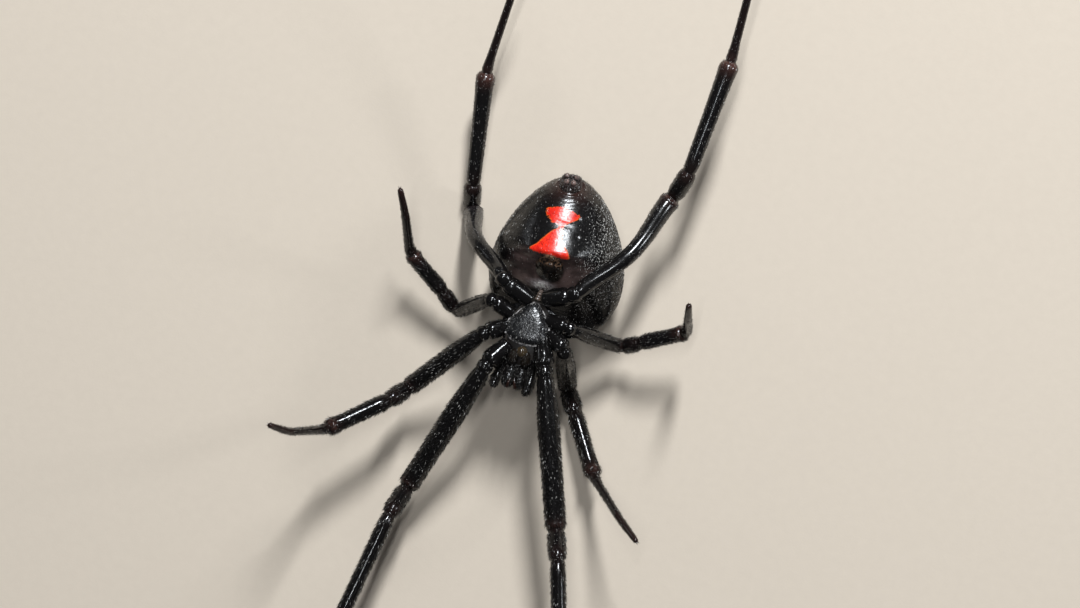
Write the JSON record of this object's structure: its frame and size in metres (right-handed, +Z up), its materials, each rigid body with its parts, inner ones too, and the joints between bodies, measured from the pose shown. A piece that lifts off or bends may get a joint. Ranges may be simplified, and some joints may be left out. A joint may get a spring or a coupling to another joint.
{
  "type": "black widow spider",
  "caption": "Life-size still model of a female black widow spider lying on its back, legs spread as in its web, with the red hourglass on its belly upwards.",
  "frame": {"origin": "middle of the underside of the whole spider's box, on the floor it lies on", "axes": "+Z up, out of the spider's belly; -Y towards its head, +Y towards its spinnerets; its left side is at -X"},
  "size_m": [0.0172, 0.044, 0.0099],
  "materials": {
    "black_cuticle": "satin to glossy black, finely hairy",
    "brown_cuticle": "glossy reddish brown",
    "eye_lens": "very glossy"
  },
  "bodies": {
    "root": {"abdomen": "black_cuticle", "carapace": "black_cuticle", "chelicera_left": "black_cuticle", "chelicera_right": "black_cuticle", "eye_1": "eye_lens", "eye_2": "eye_lens", "eye_3": "eye_lens", "eye_4": "eye_lens", "eye_5": "eye_lens", "eye_6": "eye_lens", "eye_7": "eye_lens", "eye_8": "eye_lens", "fang_left": "brown_cuticle", "fang_right": "brown_cuticle", "labium": "brown_cuticle", "leg_left_1_foot": "black_cuticle", "leg_left_1_hip": "black_cuticle", "leg_left_1_shin": "black_cuticle", "leg_left_1_thigh": "black_cuticle", "leg_left_2_foot": "black_cuticle", "leg_left_2_hip": "black_cuticle", "leg_left_2_shin": "black_cuticle", "leg_left_2_thigh": "black_cuticle", "leg_left_3_foot": "black_cuticle", "leg_left_3_hip": "black_cuticle", "leg_left_3_shin": "black_cuticle", "leg_left_3_thigh": "black_cuticle", "leg_left_4_foot": "black_cuticle", "leg_left_4_hip": "black_cuticle", "leg_left_4_shin": "black_cuticle", "leg_left_4_thigh": "black_cuticle", "leg_right_1_foot": "black_cuticle", "leg_right_1_hip": "black_cuticle", "leg_right_1_shin": "black_cuticle", "leg_right_1_thigh": "black_cuticle", "leg_right_2_foot": "black_cuticle", "leg_right_2_hip": "black_cuticle", "leg_right_2_shin": "black_cuticle", "leg_right_2_thigh": "black_cuticle", "leg_right_3_foot": "black_cuticle", "leg_right_3_hip": "black_cuticle", "leg_right_3_shin": "black_cuticle", "leg_right_3_thigh": "black_cuticle", "leg_right_4_foot": "black_cuticle", "leg_right_4_hip": "black_cuticle", "leg_right_4_shin": "black_cuticle", "leg_right_4_thigh": "black_cuticle", "maxilla_left": "brown_cuticle", "maxilla_right": "brown_cuticle", "palp_left": "black_cuticle", "palp_right": "black_cuticle", "pedicel": "brown_cuticle", "spinnerets": "brown_cuticle", "sternum": "black_cuticle"}
  },
  "joints": []
}
